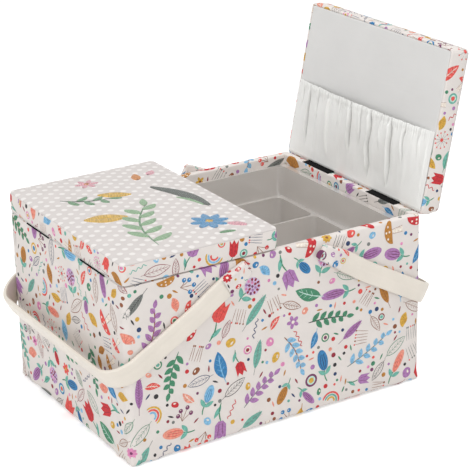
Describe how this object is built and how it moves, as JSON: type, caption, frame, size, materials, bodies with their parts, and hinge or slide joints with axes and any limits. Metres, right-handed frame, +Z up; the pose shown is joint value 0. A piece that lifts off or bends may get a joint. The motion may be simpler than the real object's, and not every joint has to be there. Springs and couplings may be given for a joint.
{
  "type": "sewing box",
  "caption": "Fabric-covered sewing box with padded lids that open to both ends on webbing hinges, a gathered lid pocket, lift-out trays and swinging strap handles.",
  "frame": {"origin": "middle of the flat underside", "axes": "+X along the length towards the open lid, +Y towards the back, +Z up"},
  "size_m": [0.3916, 0.25, 0.3292],
  "materials": {
    "board": "thin fibreboard",
    "base_cloth": "plain woven",
    "printed_cotton": "plain weave with a small all-over print",
    "dotted_cotton": "plain weave with white polka dots",
    "wadding": "soft non-woven wadding",
    "lining_card": "card covered with satin",
    "lining_satin": "smooth satin over card",
    "pocket_satin": "gathered satin",
    "elastic": "covered elastic",
    "webbing": "black woven tape",
    "rail_wood": "plain softwood",
    "strap_leather": "smooth cream imitation leather",
    "core_plastic": "plain",
    "rivet_steel": "plated",
    "tray_plastic": "glossy moulded plastic"
  },
  "bodies": {
    "box": {"base_board": "board", "base_cover": "base_cloth", "body_cover": "printed_cotton", "wall_wadding": "wadding", "floor_lining": "lining_card", "handle_rivets": "rivet_steel", "front_wall_board": "board", "back_wall_board": "board", "left_wall_board": "board", "right_wall_board": "board", "front_lining": "lining_card", "back_lining": "lining_card", "left_lining": "lining_card", "right_lining": "lining_card", "body_hinge_tapes": "webbing"},
    "left_lid": {"left_lid_cover": "printed_cotton", "left_lid_frame": "rail_wood", "left_lid_board": "board", "left_lid_padding": "wadding", "left_lid_top_panel": "dotted_cotton", "left_lid_lining": "lining_satin", "left_lid_tapes": "webbing"},
    "right_lid": {"right_lid_cover": "printed_cotton", "right_lid_frame": "rail_wood", "right_lid_board": "board", "right_lid_padding": "wadding", "right_lid_top_panel": "dotted_cotton", "right_lid_lining": "lining_satin", "right_lid_tapes": "webbing", "right_lid_pocket": "pocket_satin", "right_pocket_elastic": "elastic"},
    "left_handle": {"left_handle_strap": "strap_leather", "left_handle_core": "core_plastic", "left_handle_tabs": "printed_cotton"},
    "right_handle": {"right_handle_strap": "strap_leather", "right_handle_core": "core_plastic", "right_handle_tabs": "printed_cotton"},
    "right_tray": {"right_tray": "tray_plastic"},
    "left_tray": {"left_tray": "tray_plastic"}
  },
  "joints": [
    {"name": "right_lid_hinge", "type": "hinge", "parent": "box", "child": "right_lid", "pos_m": [0.16, 0, 0.17455], "axis": [0, 1, 0], "range_deg": [-102, 0]},
    {"name": "left_lid_hinge", "type": "hinge", "parent": "box", "child": "left_lid", "pos_m": [-0.16, 0, 0.17455], "axis": [0, -1, 0], "range_deg": [0, 102]},
    {"name": "right_handle_swing", "type": "hinge", "parent": "box", "child": "right_handle", "pos_m": [0.047, 0, 0.158], "axis": [0, -1, 0], "range_deg": [0, 30]},
    {"name": "left_handle_swing", "type": "hinge", "parent": "box", "child": "left_handle", "pos_m": [-0.047, 0, 0.158], "axis": [0, 1, 0], "range_deg": [0, 134]},
    {"name": "right_tray_lift", "type": "slide", "parent": "box", "child": "right_tray", "axis": [0, 0, 1], "range_m": [0, 0.08]},
    {"name": "left_tray_lift", "type": "slide", "parent": "box", "child": "left_tray", "axis": [0, 0, 1], "range_m": [0, 0.01]}
  ]
}
